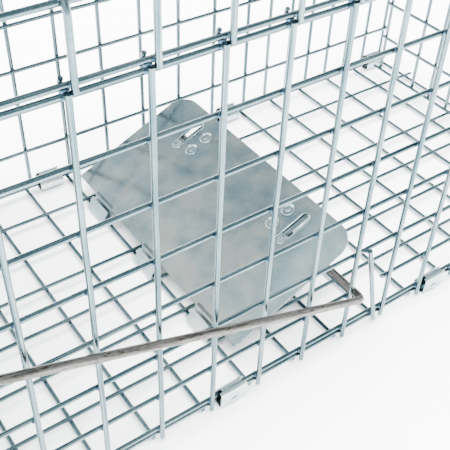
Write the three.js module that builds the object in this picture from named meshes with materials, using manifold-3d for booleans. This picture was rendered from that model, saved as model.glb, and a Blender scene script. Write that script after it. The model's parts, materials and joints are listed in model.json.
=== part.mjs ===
import * as THREE from 'three';
import { mergeVertices } from 'three/addons/utils/BufferGeometryUtils.js';
import Module from 'manifold-3d';

// Wire cage trap. Millimetres, +Z up, X along the cage with the door at -X, the trip rod on the -Y side.

// Mesh and wire
const meshPitch = 25.4;
const lengthCells = 24;
const widthCells = 7;
const sideRows = 7;
const roofBays = 4;
const wire = 2.2;
const sheet = 0.8;
const gap = 0.3;

// Cage shell
const floorLift = 3.4;            // floor wire above the surface that the clips stand on
const sideBottomLift = 3.8;       // side panel's bottom wire above the floor wire
const seamDrop = 1.8;             // side panel's top wire below its mesh line
const roofRise = 25.4;            // height of the cover's side flange
const denseCells = 7;             // closer verticals round the bait end
const denseSpan = 123.7;
const sideOffset = 3.3;           // side verticals stand this far behind the floor's cross wires

// Rear panel
const rearPanelCells = 10;
const rearPanelRows = 4;
const rearPanelSideInset = 11.4;
const rearPanelInset = 14.5;
const rearPanelDrop = 4.5;
const rearPanelLift = 3.6;
const rearClipLength = 10;
const rearClipRoom = 0.5;

// Edge clips
const clipCount = 6;
const clipLength = 14;
const clipWall = 0.9;
const clipInnerRoom = 0.5;        // between the clip and the floor's edge wire
const clipOuterRoom = 0.7;        // between the clip and the side panel
const clipHead = 3.3;             // clip's top above the side panel's bottom wire
const clipShoulder = 5.4;
const clipRidge = 1.5;

// Treadle
const treadleTilt = 24;
const treadleWireIndex = 10;      // counted from the rear cross wire
const treadleSideRoom = 12.9;
const treadleShift = 2.1;
const treadleStart = 5;
const treadleEnd = 83.5;
const treadleCorner = 12.5;
const treadleUnderside = 3.4;
const tabWidth = 17;
const tabRoom = 0.45;             // between a tab and the corner of the wire
const tabRoot = 3;
const slotCentreU = 66.9;
const slotLength = 19;
const slotWidth = 5;

// Trigger brackets
const bracketHalfSpan = 47.1;
const bracketFront = 13.5;
const bracketRear = 9.5;
const bracketDrop = 8;
const bracketEdge = 1.5;
const rivetHalfSpan = 36.7;
const rivetSpacing = 10.5;
const rivetShift = 0.8;
const rivetHead = 7;
const rivetRise = 0.75;
const rivetShank = 3.4;
const rodSlide = 5.2;             // travel of the rod's leg along the bracket
const rodSlotRoom = 1.1;

// Trip rod
const rodDiameter = 3.6;
const rodLegReach = 58.2;         // rod leg behind the treadle hinge
const rodLegRoom = 0.4;           // between the rod's leg and the bracket's flange
const rodOverhang = 12.8;         // rod leg past the far bracket
const rodArmRise = 22.7;
const rodArmShift = 2;            // arm in front of the middle of its bay
const rodStubDrop = 8.8;          // rod stub below the door hinge
const stubClear = 0.6;            // rod stub stops this short of the door's edge
const sleeveLength = 8;
const sleeveRoom = 0.9;
const sleeveAlong = 16;           // sleeve's middle from the rod's elbow
const guideTopX = 7.1;            // guide wire behind the vertical in front of the slot
const guideFootX = 20.3;

// Door
const doorHingeInset = 14.8;
const doorHingeDrop = 7.9;        // hinge axis below the roof wire
const doorSideRoom = 5.4;
const doorFootRise = 8;           // closed door's edge above the floor wire
const doorClosed = 60;
const doorHem = 6;
const doorEndHem = 3;
const doorEndHemInset = 4;
const catchWidth = 2.2;
const catchLength = 10;
const catchClear = 0.4;
const hingeRod = 4;
const hingeRodOverhang = 3.4;
const knuckleRoom = 0.5;
const knuckleWall = 1.3;
const knuckleLength = 24;
const knuckleYs = [-55, 0, 55];
const earHalfWidth = 7;
const earDrop = 8;
const earSheet = 1.2;
const earOut = 1.8;

// Lock bar
const lockPivotU = 150;
const lockPivotV = 3.8;
const lockRod = 3.5;
const lockLegY = 34;
const lockFootInset = 3.4;
const lockFootRise = 6.2;         // bar's feet above the floor wire when locked
const keeperY = 22;
const keeperLength = 8;
const keeperRoom = 0.4;
const stopHalfLength = 7;
const stopHeight = 14;
const stopSheet = 1;
const stopRoom = 0.7;
const stopLap = 3;

// Front frame
const frameRod = 5;
const frameRoom = 1.2;
const frameInset = 0.9;
const frameLift = 0.4;

// Handle
const guardLength = 200;
const guardWidth = 120;
const handleRod = 4;
const handleLegX = 60;
const handleReach = 42;
const handleClipLength = 8;
const handleClipOut = 5.4;
const handleClipRoom = 0.4;
const handleEnd = 6;

const deg = Math.PI / 180;
const halfWire = wire / 2;
const rodR = rodDiameter / 2;
const halfLength = (lengthCells * meshPitch) / 2;
const floorHalfWidth = (widthCells * meshPitch) / 2;
const panelOutset = wire + gap;
const sideY = floorHalfWidth + panelOutset;
const floorZ = floorLift;
const sideBottomZ = floorZ + sideBottomLift;
const sideTopZ = floorZ + sideRows * meshPitch - seamDrop;
const flangeBottomZ = sideTopZ + wire + gap;
const roofZ = flangeBottomZ + roofRise;

const zinc = new THREE.MeshStandardMaterial({ color: 0xb4c4c8, roughness: 0.35, metalness: 0.9 });
const sheetZinc = new THREE.MeshStandardMaterial({ color: 0x98a4a6, roughness: 0.45, metalness: 0.85 });
const bareSteel = new THREE.MeshStandardMaterial({ color: 0x8c8782, roughness: 0.45, metalness: 0.85 });

const wasm = await Module();
wasm.setup();

function toSolid(geometry) {
  const bare = geometry.index ? geometry.toNonIndexed() : geometry.clone();
  bare.deleteAttribute('normal');
  bare.deleteAttribute('uv');
  const merged = mergeVertices(bare, 1e-4);
  const mesh = new wasm.Mesh({
    numProp: 3,
    vertProperties: new Float32Array(merged.attributes.position.array),
    triVerts: new Uint32Array(merged.index.array),
  });
  return new wasm.Manifold(mesh);
}

function toGeometry(solid) {
  const mesh = solid.getMesh();
  const geometry = new THREE.BufferGeometry();
  geometry.setAttribute('position', new THREE.BufferAttribute(new Float32Array(mesh.vertProperties), 3));
  geometry.setIndex(new THREE.BufferAttribute(new Uint32Array(mesh.triVerts), 1));
  geometry.computeVertexNormals();
  return geometry;
}

function join(geometries) {
  return toGeometry(geometries.map(toSolid).reduce((sum, solid) => sum.add(solid)));
}

function block(x0, x1, y0, y1, z0, z1) {
  const geometry = new THREE.BoxGeometry(x1 - x0, y1 - y0, z1 - z0);
  return geometry.translate((x0 + x1) / 2, (y0 + y1) / 2, (z0 + z1) / 2);
}

// Straight round bar between two points, its ends run on by extra.
function bar(from, to, radius, sides, extraFrom = 0, extraTo = 0) {
  const a = new THREE.Vector3(...from);
  const b = new THREE.Vector3(...to);
  const direction = b.clone().sub(a).normalize();
  a.addScaledVector(direction, -extraFrom);
  b.addScaledVector(direction, extraTo);
  const geometry = new THREE.CylinderGeometry(radius, radius, a.distanceTo(b), sides);
  geometry.applyQuaternion(new THREE.Quaternion().setFromUnitVectors(new THREE.Vector3(0, 1, 0), direction));
  const middle = a.add(b).multiplyScalar(0.5);
  return geometry.translate(middle.x, middle.y, middle.z);
}

// Bent round rod through points, each corner filled by running both bars on to meet.
function bentRod(points, radius, sides = 8) {
  const bars = points.slice(1).map((point, i) => {
    const first = i === 0;
    const last = i === points.length - 2;
    return bar(points[i], point, radius, sides, first ? 0 : radius * 0.9, last ? 0 : radius * 0.9);
  });
  return join(bars);
}

function rectHole(u0, u1, v0, v1) {
  const path = new THREE.Path();
  path.moveTo(u0, v0);
  path.lineTo(u0, v1);
  path.lineTo(u1, v1);
  path.lineTo(u1, v0);
  path.closePath();
  return path;
}

function rectShape(u0, u1, v0, v1) {
  const shape = new THREE.Shape();
  shape.moveTo(u0, v0);
  shape.lineTo(u1, v0);
  shape.lineTo(u1, v1);
  shape.lineTo(u0, v1);
  shape.closePath();
  return shape;
}

// Welded wire panel, flat on XY: wires at us run along y, wires at vs run along x, all in one layer.
// open names one bay of one crosswire that is left out.
function lattice(us, vs, open = null) {
  const uLines = us.flatMap((u) => [u - halfWire, u + halfWire]);
  const vLines = vs.flatMap((v) => [v - halfWire, v + halfWire]);
  const filled = (i, j) => {
    if (i < 0 || j < 0 || i >= uLines.length - 1 || j >= vLines.length - 1) return false;
    if (open && i === 2 * open.bay + 1 && j === 2 * open.row) return false;
    return i % 2 === 0 || j % 2 === 0;
  };
  const corners = [];
  const quad = (a, b, c, d) => corners.push(...a, ...b, ...c, ...a, ...c, ...d);
  for (let i = 0; i < uLines.length - 1; i += 1) {
    for (let j = 0; j < vLines.length - 1; j += 1) {
      if (filled(i, j)) {
        const [u0, u1, v0, v1] = [uLines[i], uLines[i + 1], vLines[j], vLines[j + 1]];
        const [low, high] = [-halfWire, halfWire];
        quad([u0, v0, high], [u1, v0, high], [u1, v1, high], [u0, v1, high]);
        quad([u0, v1, low], [u1, v1, low], [u1, v0, low], [u0, v0, low]);
        if (!filled(i, j - 1)) quad([u0, v0, low], [u1, v0, low], [u1, v0, high], [u0, v0, high]);
        if (!filled(i, j + 1)) quad([u1, v1, low], [u0, v1, low], [u0, v1, high], [u1, v1, high]);
        if (!filled(i - 1, j)) quad([u0, v1, low], [u0, v0, low], [u0, v0, high], [u0, v1, high]);
        if (!filled(i + 1, j)) quad([u1, v0, low], [u1, v1, low], [u1, v1, high], [u1, v0, high]);
      }
    }
  }
  const geometry = new THREE.BufferGeometry();
  geometry.setAttribute('position', new THREE.Float32BufferAttribute(corners, 3));
  geometry.computeVertexNormals();
  return geometry;
}

function extrude(shape, depth, curveSegments = 6) {
  return new THREE.ExtrudeGeometry(shape, { depth, bevelEnabled: false, curveSegments });
}

const standSide = new THREE.Matrix4().makeBasis(
  new THREE.Vector3(1, 0, 0), new THREE.Vector3(0, 0, 1), new THREE.Vector3(0, -1, 0));
const standEnd = new THREE.Matrix4().makeBasis(
  new THREE.Vector3(0, 1, 0), new THREE.Vector3(0, 0, 1), new THREE.Vector3(1, 0, 0));

function steps(start, pitch, count) {
  return Array.from({ length: count + 1 }, (_, i) => start + i * pitch);
}

const trap = new THREE.Group();
// The box of the whole trap is centred on the origin: the rod sleeve reaches further than the clips do.
const rodPlaneOut = 1.5 * wire + 2 * gap + rodR;
const sleeveOut = rodPlaneOut + rodR + sleeveRoom + clipWall;
const clipOut = halfWire + clipOuterRoom + clipWall;
const frameForward = halfWire + frameRod / 2 + frameRoom;
trap.position.y = (sleeveOut - clipOut) / 2;
trap.position.x = (frameForward + frameRod / 2 - halfWire) / 2;

function add(name, geometry, material, parent = trap) {
  const mesh = new THREE.Mesh(geometry, material);
  mesh.name = name;
  parent.add(mesh);
  return mesh;
}

// Wire positions along the cage
const floorCrossX = steps(-halfLength, meshPitch, lengthCells);
const denseStart = halfLength - denseSpan;
const evenCells = Math.floor((denseStart + halfLength - sideOffset + 1) / meshPitch);
const evenX = steps(denseStart - evenCells * meshPitch, meshPitch, evenCells);
const denseX = steps(denseStart, denseSpan / denseCells, denseCells).slice(1);
const sideX = [...evenX, ...denseX];
const floorY = steps(-floorHalfWidth, meshPitch, widthCells);
const roofY = steps(-floorHalfWidth, (2 * floorHalfWidth) / roofBays, roofBays);
const sideZ = [sideBottomZ, ...steps(floorZ + meshPitch, meshPitch, sideRows - 2), sideTopZ];

const treadleX = halfLength - treadleWireIndex * meshPitch;
const rodLegX = treadleX + rodLegReach;
const slotBay = sideX.findIndex((x) => x > rodLegX) - 1;

function addShell() {
  add('floor_panel', lattice(floorCrossX, floorY).translate(0, 0, floorZ), zinc);
  const rodSide = lattice(sideX, sideZ, { bay: slotBay, row: 1 }).applyMatrix4(standSide);
  add('right_side_panel', rodSide.translate(0, -sideY, 0), zinc);
  add('left_side_panel', lattice(sideX, sideZ).applyMatrix4(standSide).translate(0, sideY, 0), zinc);
  add('roof_panel', lattice(sideX, roofY).translate(0, 0, roofZ), zinc);
  for (const [side, sign] of [['right', -1], ['left', 1]]) {
    const flange = lattice(sideX, [flangeBottomZ, roofZ]).applyMatrix4(standSide);
    add(`roof_flange_${side}`, flange.translate(0, sign * sideY, 0), zinc);
  }
}

// Folded sheet sleeve: a closed section in the plane across its length.
function sleeve(outer, inner, length) {
  outer.holes.push(inner);
  return extrude(outer, length).translate(0, 0, -length / 2);
}

// House-shaped section round both edge wires, inwardSign towards the middle of the cage.
function houseShape(PathClass, inset, inwardSign) {
  const low = -floorLift + inset;
  const high = sideBottomLift + clipHead - inset;
  const inY = halfWire + clipInnerRoom + clipWall - inset;
  const ridgeY = -panelOutset + clipRidge - 0.6 * inset;
  const outY = -panelOutset - clipOut + inset;
  const corners = [[inY, low], [inY, low + clipShoulder], [ridgeY, high], [outY, high], [outY, low]];
  if (inwardSign < 0) corners.reverse();
  const path = new PathClass();
  corners.forEach(([y, z], i) => (i === 0 ? path.moveTo(y * inwardSign, z) : path.lineTo(y * inwardSign, z)));
  path.closePath();
  return path;
}

// Each clip sits in a floor bay, midway between a side vertical and the next cross wire, the rearmost first.
function addEdgeClips() {
  const clipBays = steps(clipCount - 1, -1, clipCount - 1).map(
    (place) => Math.floor(((lengthCells - 1) * place) / (clipCount - 1)));
  clipBays.forEach((bay, i) => {
    const crossX = floorCrossX[bay + 1];
    const sideBefore = sideX.filter((x) => x < crossX - 1).at(-1);
    const x = (sideBefore + crossX) / 2;
    for (const [side, sign] of [['right', -1], ['left', 1]]) {
      const outer = houseShape(THREE.Shape, 0, -sign);
      const body = sleeve(outer, houseShape(THREE.Path, clipWall, -sign), clipLength);
      body.applyMatrix4(standEnd);
      add(`edge_clip_${side}_${i + 1}`, body.translate(x, sign * floorHalfWidth, floorZ), sheetZinc);
    }
  });
}

// Treadle parts are drawn level about the hinge wire: x away from the hinge, z up, then tilted as a group.
const treadle = new THREE.Group();
treadle.position.set(treadleX, treadleShift, floorZ);
treadle.rotation.y = -treadleTilt * deg;
trap.add(treadle);

const bracketTop = treadleUnderside - gap;
const bracketBottom = bracketTop - sheet;
const treadleTop = treadleUnderside + sheet;

// Where the rod leg stands: rodLegReach behind the hinge wire, rodLegV in the treadle's own height.
const rodLegV = bracketBottom - rodR - rodLegRoom;
const rodLegRise = (rodLegV + rodLegReach * Math.sin(treadleTilt * deg)) / Math.cos(treadleTilt * deg);
const rodLegZ = floorZ + rodLegRise;
const rodPlaneY = -(sideY + rodPlaneOut);
const tabInner = halfWire * Math.SQRT2 + tabRoom;
const tabOuter = tabInner + sheet;
const tabBays = [1, Math.floor((widthCells - 1) / 2), widthCells - 2];
const rivetUs = [-1, 1].map((sign) => slotCentreU + (sign * rivetSpacing) / 2 - rivetShift);

function tabGeometry(centreY) {
  const shape = new THREE.Shape();
  const from = 60 * deg;
  const to = 300 * deg;
  shape.moveTo(treadleStart + tabRoot, treadleTop);
  shape.lineTo(treadleStart, treadleTop);
  shape.lineTo(tabOuter * Math.cos(from), tabOuter * Math.sin(from));
  shape.absarc(0, 0, tabOuter, from, to, false);
  shape.absarc(0, 0, tabInner, to, from, true);
  shape.lineTo(treadleStart, treadleUnderside);
  shape.lineTo(treadleStart + tabRoot, treadleUnderside);
  shape.closePath();
  const curl = extrude(shape, tabWidth, 5).translate(0, 0, -tabWidth / 2);
  return curl.applyMatrix4(standSide).translate(0, centreY - treadleShift, 0);
}

function plateShape() {
  const half = floorHalfWidth - treadleSideRoom;
  const shape = new THREE.Shape();
  shape.moveTo(treadleStart, -half);
  shape.lineTo(treadleEnd - treadleCorner, -half);
  shape.absarc(treadleEnd - treadleCorner, -half + treadleCorner, treadleCorner, -Math.PI / 2, 0, false);
  shape.absarc(treadleEnd - treadleCorner, half - treadleCorner, treadleCorner, 0, Math.PI / 2, false);
  shape.lineTo(treadleStart, half);
  shape.closePath();
  for (const sign of [-1, 1]) {
    shape.holes.push(slotHole(slotCentreU, sign * bracketHalfSpan, slotLength, slotWidth));
    for (const u of rivetUs) shape.holes.push(roundHole(u, sign * rivetHalfSpan, rivetShank / 2 + gap));
  }
  return shape;
}

function slotHole(u, y, length, width) {
  const r = width / 2;
  const straight = length / 2 - r;
  const path = new THREE.Path();
  path.absarc(u + straight, y, r, -Math.PI / 2, Math.PI / 2, false);
  path.absarc(u - straight, y, r, Math.PI / 2, Math.PI * 1.5, false);
  path.closePath();
  return path;
}

function roundHole(u, y, r) {
  const path = new THREE.Path();
  path.absarc(u, y, r, 0, Math.PI * 2, false);
  return path;
}

const rodSlideEnd = rodLegReach * Math.cos(treadleTilt * deg) + rodLegRise * Math.sin(treadleTilt * deg);

// The leg slides along the bracket's slot as the treadle drops.
function bracketGeometry(sign) {
  const wallY = sign * bracketHalfSpan;
  const inner = sign * (rivetHalfSpan - rivetHead / 2 - bracketEdge);
  const u0 = slotCentreU - bracketFront;
  const u1 = slotCentreU + bracketRear;
  const y0 = Math.min(wallY + sign * sheet / 2, inner);
  const y1 = Math.max(wallY + sign * sheet / 2, inner);
  const flange = rectShape(u0, u1, y0, y1);
  for (const u of rivetUs) flange.holes.push(roundHole(u, sign * rivetHalfSpan, rivetShank / 2 + gap));
  const top = extrude(flange, sheet, 3).translate(0, 0, bracketBottom);
  const wall = rectShape(u0, u1, bracketTop - bracketDrop, bracketBottom + sheet / 2);
  const slotHeight = rodDiameter + rodSlotRoom;
  wall.holes.push(slotHole(rodSlideEnd - rodSlide / 2, rodLegV, rodSlide + slotHeight, slotHeight));
  const side = extrude(wall, sheet, 3).translate(0, 0, -sheet / 2).applyMatrix4(standSide);
  return join([top, side.translate(0, wallY, 0)]);
}


function addTreadle() {
  const plate = extrude(plateShape(), sheet, 4).translate(0, 0, treadleUnderside);
  const tabs = tabBays.map((bay) => tabGeometry((floorY[bay] + floorY[bay + 1]) / 2));
  add('treadle_plate', join([plate, ...tabs]), sheetZinc, treadle);
  let count = 0;
  for (const [side, sign] of [['right', -1], ['left', 1]]) {
    add(`trigger_bracket_${side}`, bracketGeometry(sign), sheetZinc, treadle);
    for (const u of rivetUs) {
      count += 1;
      const shank = rivetShank / 2;
      const head = rivetHead / 2;
      const headLow = treadleTop + gap / 2;
      const headHigh = headLow + rivetRise;
      const points = [[0, bracketBottom], [shank, bracketBottom], [shank, headLow], [head, headLow],
        [head, headHigh], [0, headHigh]];
      const rivet = new THREE.LatheGeometry(points.map(([r, z]) => new THREE.Vector2(r, z)), 8);
      rivet.rotateX(Math.PI / 2);
      add(`bracket_rivet_${count}`, rivet.translate(u, sign * rivetHalfSpan, 0), sheetZinc, treadle);
    }
  }
}

const doorHingeX = -halfLength + doorHingeInset;
const doorZ = roofZ - doorHingeDrop;
const doorWidth = 2 * (sideY - doorSideRoom);
const doorLength = (doorZ - floorZ - doorFootRise) / Math.sin(doorClosed * deg);
const rodArmX = (sideX[1] + sideX[2]) / 2 - rodArmShift;
const rodStubZ = doorZ - rodStubDrop;
const rodElbowZ = rodStubZ - rodArmRise;

function addTripRod() {
  const rod = [
    [rodLegX, treadleShift + bracketHalfSpan + rodOverhang, rodLegZ],
    [rodLegX, rodPlaneY, rodLegZ],
    [rodArmX, rodPlaneY, rodElbowZ],
    [rodArmX, rodPlaneY, rodStubZ],
    [rodArmX, -doorWidth / 2 - stubClear, rodStubZ],
  ];
  add('trip_rod', bentRod(rod, rodR), bareSteel);
  const slope = Math.atan2(rodElbowZ - rodLegZ, rodLegX - rodArmX);
  const inner = rodR + sleeveRoom;
  const outer = inner + clipWall;
  const hole = rectHole(-inner, inner, -inner, inner);
  const ring = sleeve(rectShape(-outer, outer, -outer, outer), hole, sleeveLength);
  ring.translate(0, 0, sleeveAlong).applyMatrix4(standEnd).rotateY(slope);
  ring.translate(rodArmX, rodPlaneY, rodElbowZ);
  add('rod_sleeve', ring, sheetZinc);
  const guideY = -(sideY + wire + gap);
  const guideTop = [sideX[slotBay] + guideTopX, guideY, floorZ + 2 * meshPitch + halfWire];
  const guideFoot = [sideX[slotBay] + guideFootX, guideY, floorZ - halfWire];
  add('rod_guide', bar(guideTop, guideFoot, halfWire, 8), zinc);
}

// Door parts are drawn hanging level from the hinge: x away from the hinge, z up.
const door = new THREE.Group();
door.position.set(doorHingeX, 0, doorZ);
trap.add(door);

const knuckleOuter = hingeRod / 2 + knuckleRoom + knuckleWall;

function doorGeometry() {
  const half = doorWidth / 2;
  const halfSheet = sheet / 2;
  const bodyStart = knuckleOuter + 1;
  const panel = block(bodyStart, doorLength, -half, half, -halfSheet, halfSheet);
  const hemEnd = lockPivotU - keeperLength - 2;
  const hems = [-half, half - sheet].map((y) => block(bodyStart, hemEnd, y, y + sheet, -doorHem, 0));
  const endHalf = half - doorEndHemInset;
  const endHem = block(doorLength - sheet, doorLength, -endHalf, endHalf, -doorEndHem, 0);
  const knuckles = knuckleYs.map((y) => {
    const ring = new THREE.Shape();
    ring.absarc(0, 0, knuckleOuter, 0, Math.PI * 2, false);
    ring.holes.push(roundHole(0, 0, hingeRod / 2 + knuckleRoom));
    const tube = extrude(ring, knuckleLength, 5).translate(0, 0, -knuckleLength / 2);
    return tube.applyMatrix4(standSide).translate(0, y, 0);
  });
  const straps = knuckleYs.map((y) => {
    const reach = knuckleLength / 2;
    return block(knuckleOuter - knuckleWall / 2, bodyStart + 3, y - reach, y + reach, -halfSheet, halfSheet);
  });
  return join([panel, ...hems, endHem, ...knuckles, ...straps]);
}

const lockDrop = doorZ - floorZ - lockFootRise - lockPivotU * Math.sin(doorClosed * deg)
  - lockPivotV * Math.cos(doorClosed * deg);
const lockFootY = sideY - lockFootInset;

function addDoorHinge() {
  for (const [side, sign] of [['right', -1], ['left', 1]]) {
    const ear = rectShape(-earHalfWidth, earHalfWidth, -earDrop, roofZ - halfWire - 2 * gap - doorZ);
    ear.holes.push(roundHole(0, 0, hingeRod / 2 + gap));
    const plate = extrude(ear, earSheet).translate(0, 0, -earSheet / 2).applyMatrix4(standSide);
    add(`door_hinge_ear_${side}`, plate.translate(0, sign * (doorWidth / 2 + earOut), 0), sheetZinc, door);
  }
  const reach = doorWidth / 2 + hingeRodOverhang;
  add('door_hinge_rod', bar([0, -reach, 0], [0, reach, 0], hingeRod / 2, 8), bareSteel, door);
}

function addDoor() {
  add('door', doorGeometry(), sheetZinc, door);
  const catchY = -doorWidth / 2 - gap;
  const catchEnd = rodArmX - doorHingeX - rodR - catchClear;
  const catchLow = rodStubZ - doorZ - 1;
  const catchTop = -sheet / 2 - gap;
  const lip = block(catchEnd - catchLength, catchEnd, catchY - catchWidth, catchY, catchLow, catchTop);
  add('door_catch', lip, sheetZinc, door);
  addDoorHinge();
  for (const [side, sign] of [['right', -1], ['left', 1]]) {
    const inner = lockRod / 2 + keeperRoom;
    const outer = inner + sheet;
    const up = lockPivotV - sheet / 2 - gap;
    const hole = rectHole(-inner, inner, -inner, up - sheet);
    const keeper = sleeve(rectShape(-outer, outer, -outer, up), hole, keeperLength).applyMatrix4(standSide);
    keeper.translate(lockPivotU, sign * keeperY, -lockPivotV);
    add(`lock_bar_keeper_${side}`, keeper, sheetZinc, door);
  }
  const lockBar = [
    [lockPivotU, -lockFootY, -lockPivotV - lockDrop],
    [lockPivotU, -lockLegY, -lockPivotV - lockDrop],
    [lockPivotU, -lockLegY, -lockPivotV],
    [lockPivotU, lockLegY, -lockPivotV],
    [lockPivotU, lockLegY, -lockPivotV - lockDrop],
    [lockPivotU, lockFootY, -lockPivotV - lockDrop],
  ];
  add('lock_bar', bentRod(lockBar, lockRod / 2), bareSteel, door);
}

// With the door down and the bar plumb, the bar's feet stand just under these stops.
function addLockStops() {
  const angle = doorClosed * deg;
  const footX = doorHingeX + lockPivotU * Math.cos(angle) - lockPivotV * Math.sin(angle);
  const shelfZ = floorZ + lockFootRise + lockRod / 2 + stopRoom;
  const wall = sideY - halfWire - gap;
  const [x0, x1] = [footX - stopHalfLength, footX + stopHalfLength];
  for (const [side, sign] of [['right', -1], ['left', 1]]) {
    const [y0, y1] = [sign * (lockFootY - stopLap), sign * wall].sort((a, b) => a - b);
    const shelf = block(x0, x1, y0, y1, shelfZ, shelfZ + stopSheet);
    const [b0, b1] = [sign * (wall - stopSheet), sign * wall].sort((a, b) => a - b);
    const back = block(x0, x1, b0, b1, shelfZ, shelfZ + stopHeight);
    add(`lock_stop_${side}`, join([shelf, back]), sheetZinc);
  }
}

function addFrontFrame() {
  const x = -halfLength - frameForward;
  const r = frameRod / 2;
  const y = sideY - frameInset;
  const low = floorZ + frameLift;
  const ring = rectShape(-y - r, y + r, low - r, roofZ + r);
  ring.holes.push(rectHole(-y + r, y - r, low + r, roofZ - r));
  const frame = extrude(ring, frameRod).translate(0, 0, -r).applyMatrix4(standEnd);
  add('front_frame', frame.translate(x, 0, 0), zinc);
}

function addRearPanel() {
  const x = halfLength - rearPanelInset;
  const top = roofZ - rearPanelDrop;
  const low = floorZ + rearPanelLift;
  const halfWidth = floorHalfWidth - rearPanelSideInset;
  const ys = steps(-halfWidth, (2 * halfWidth) / rearPanelCells, rearPanelCells);
  const zs = steps(low, (top - low) / rearPanelRows, rearPanelRows);
  add('rear_panel', lattice(ys, zs).applyMatrix4(standEnd).translate(x, 0, 0), zinc);
  const roofWire = sideX.at(-2);
  const reach = halfWire + rearClipRoom + gap;
  for (const [side, sign] of [['right', -1], ['left', 1]]) {
    const inX0 = roofWire - reach;
    const inX1 = x + reach;
    const inZ0 = top - reach;
    const inZ1 = roofZ + halfWire + gap;
    const outer = rectShape(inX0 - clipWall, inX1 + clipWall, inZ0 - clipWall, inZ1 + clipWall);
    const tube = sleeve(outer, rectHole(inX0, inX1, inZ0, inZ1), rearClipLength).applyMatrix4(standSide);
    const y = sign * (ys.at(-3) + ys.at(-2)) / 2;
    add(`rear_hinge_clip_${side}`, tube.translate(0, y, 0), sheetZinc);
  }
}

function addHandle() {
  const guardZ = roofZ + halfWire + gap;
  const halfX = guardLength / 2;
  const halfY = guardWidth / 2;
  add('handle_guard', block(-halfX, halfX, -halfY, halfY, guardZ, guardZ + sheet), sheetZinc);
  const r = handleRod / 2;
  const inner = r + handleClipRoom;
  const outer = inner + sheet;
  const pivotZ = guardZ + sheet + gap + outer;
  const pivotY = -handleReach / 2;
  const clipX = handleLegX + r + handleClipOut;
  for (const [end, sign] of [['front', -1], ['rear', 1]]) {
    const hole = rectHole(-inner, inner, -inner, inner);
    const section = sleeve(rectShape(-outer, outer, -outer, outer), hole, handleClipLength);
    section.applyMatrix4(standEnd).translate(sign * clipX, pivotY, pivotZ);
    add(`handle_clip_${end}`, section, sheetZinc);
  }
  const bail = [
    [-clipX - handleEnd, pivotY, pivotZ],
    [-handleLegX, pivotY, pivotZ],
    [-handleLegX, pivotY + handleReach, pivotZ],
    [handleLegX, pivotY + handleReach, pivotZ],
    [handleLegX, pivotY, pivotZ],
    [clipX + handleEnd, pivotY, pivotZ],
  ];
  add('handle', bentRod(bail, r), bareSteel);
}

addShell();
addEdgeClips();
addTreadle();
addTripRod();
addDoor();
addLockStops();
addFrontFrame();
addRearPanel();
addHandle();

export default trap;
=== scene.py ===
import json
import math
import random

import bmesh
import bpy
from mathutils import Euler, Matrix, Vector


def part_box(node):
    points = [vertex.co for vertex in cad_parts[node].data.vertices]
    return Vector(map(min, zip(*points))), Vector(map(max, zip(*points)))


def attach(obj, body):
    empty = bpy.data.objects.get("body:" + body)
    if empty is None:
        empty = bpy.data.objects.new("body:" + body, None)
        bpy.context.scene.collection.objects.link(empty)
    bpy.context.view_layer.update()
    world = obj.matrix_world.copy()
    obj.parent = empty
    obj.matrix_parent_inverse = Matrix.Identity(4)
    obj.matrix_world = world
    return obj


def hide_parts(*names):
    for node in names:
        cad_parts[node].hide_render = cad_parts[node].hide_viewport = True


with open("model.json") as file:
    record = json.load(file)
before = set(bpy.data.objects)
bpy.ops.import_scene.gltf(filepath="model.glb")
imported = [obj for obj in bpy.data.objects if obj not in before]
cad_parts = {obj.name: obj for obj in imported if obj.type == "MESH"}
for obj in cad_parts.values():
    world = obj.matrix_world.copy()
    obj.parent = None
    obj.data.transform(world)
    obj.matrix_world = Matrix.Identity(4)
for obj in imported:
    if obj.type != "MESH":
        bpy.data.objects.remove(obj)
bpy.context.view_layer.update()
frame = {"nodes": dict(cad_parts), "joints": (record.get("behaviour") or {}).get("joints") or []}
mm = 0.001
chance = random.Random(11)
print("frame loaded")


class Socket:
    # an output that takes part in plain arithmetic: each expression adds its Math nodes
    def __init__(self, maker, socket):
        self.maker = maker
        self.socket = socket

    def math(self, operation, *values):
        return self.maker.node("ShaderNodeMath", {"operation": operation}, dict(enumerate(values)))

    def __add__(self, other):
        return self.math("ADD", self, other)

    def __mul__(self, other):
        return self.math("MULTIPLY", self, other)

    __radd__ = __add__
    __rmul__ = __mul__

    def sine(self):
        return self.math("SINE", self)

    def cosine(self):
        return self.math("COSINE", self)


class NodeMaker:
    def __init__(self, tree):
        self.tree = tree

    def node(self, kind, settings=None, inputs=None, output=0):
        made = self.tree.nodes.new(kind)
        for key, value in (settings or {}).items():
            if key == "stops":
                ramp = made.color_ramp
                while len(ramp.elements) < len(value):
                    ramp.elements.new(1)
                for element, (position, color) in zip(ramp.elements, value):
                    element.position = position
                    element.color = (*color, 1)
            else:
                setattr(made, key, value)
        for key, value in (inputs or {}).items():
            for one in value if isinstance(value, list) else [value]:
                if isinstance(one, Socket):
                    self.tree.links.new(one.socket, made.inputs[key])
                else:
                    made.inputs[key].default_value = one
        return Socket(self, made.outputs[output]) if made.outputs else made


def startFinish(name):
    material = bpy.data.materials.new(name)
    material.use_nodes = True
    material.node_tree.nodes.clear()
    return material, NodeMaker(material.node_tree)


def objectPlace(maker):
    return maker.node("ShaderNodeTexCoord", output="Object")


def wireValue(maker, name):
    return maker.node("ShaderNodeAttribute", {"attribute_name": name}, output="Fac")


def noise(maker, vector, scale, detail=3):
    return maker.node("ShaderNodeTexNoise", None, {"Vector": vector, "Scale": scale, "Detail": detail})


def ramp(maker, tone, stops):
    return maker.node("ShaderNodeValToRGB", {"stops": stops}, {"Fac": tone})


def remap(maker, value, fromStart, fromEnd, toStart, toEnd):
    return maker.node("ShaderNodeMapRange", None, {"Value": value, 1: fromStart, 2: fromEnd, 3: toStart, 4: toEnd})


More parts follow.
